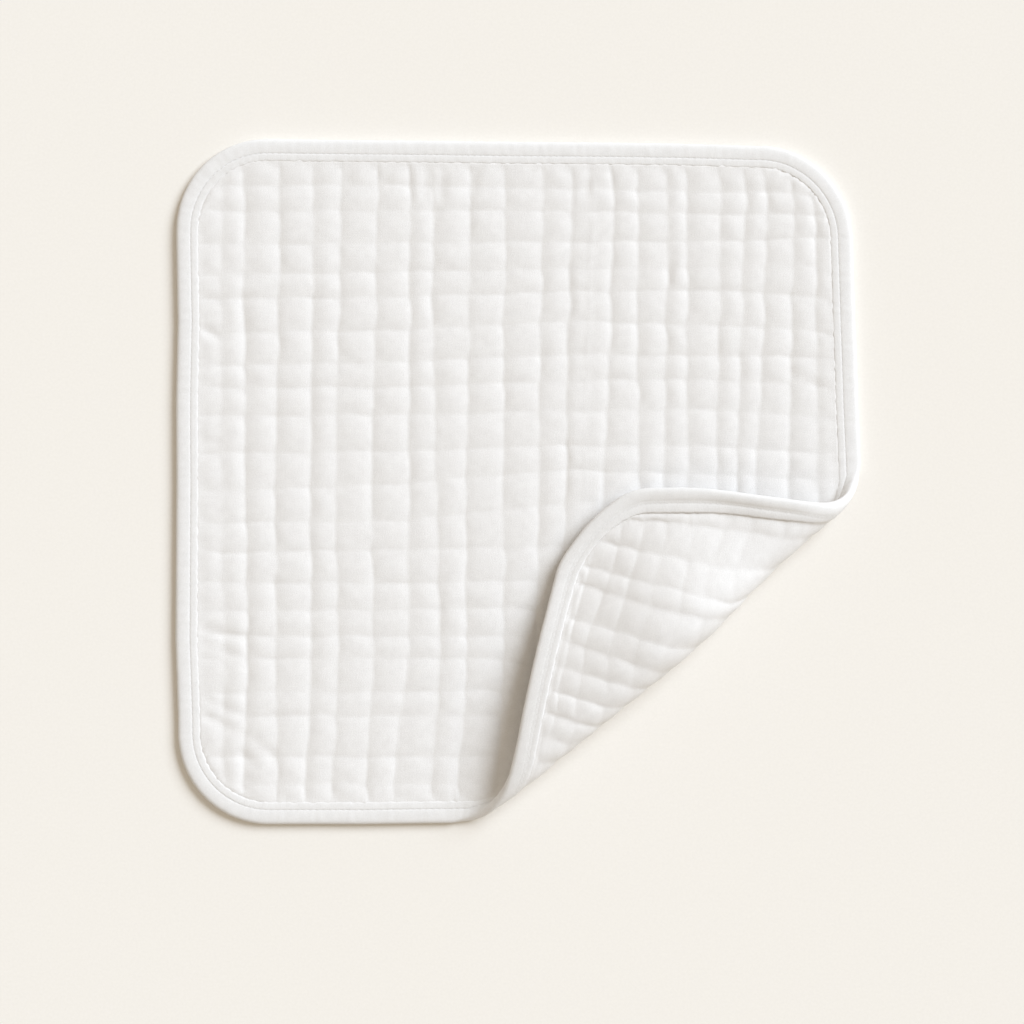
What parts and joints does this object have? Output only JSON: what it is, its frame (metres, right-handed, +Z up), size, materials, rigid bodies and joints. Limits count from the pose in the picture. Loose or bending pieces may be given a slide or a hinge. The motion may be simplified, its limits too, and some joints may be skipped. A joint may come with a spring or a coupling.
{
  "type": "burp cloth",
  "caption": "Square quilted muslin burp cloth with rounded corners and a bound edge, one corner turned back in a soft roll.",
  "frame": {"origin": "centre of the footprint at the surface on which the cloth lies", "axes": "+Z up from the surface, +Y towards the edge opposite the flap's near end, +X towards the side where the fold starts"},
  "size_m": [0.3013, 0.2997, 0.0273],
  "materials": {
    "muslin": "matte white crinkled cotton muslin, quilted",
    "binding_tape": "matte white cotton tape, sewn down near its inner edge"
  },
  "bodies": {
    "root": {"panel": "muslin", "binding": "binding_tape"}
  },
  "joints": []
}
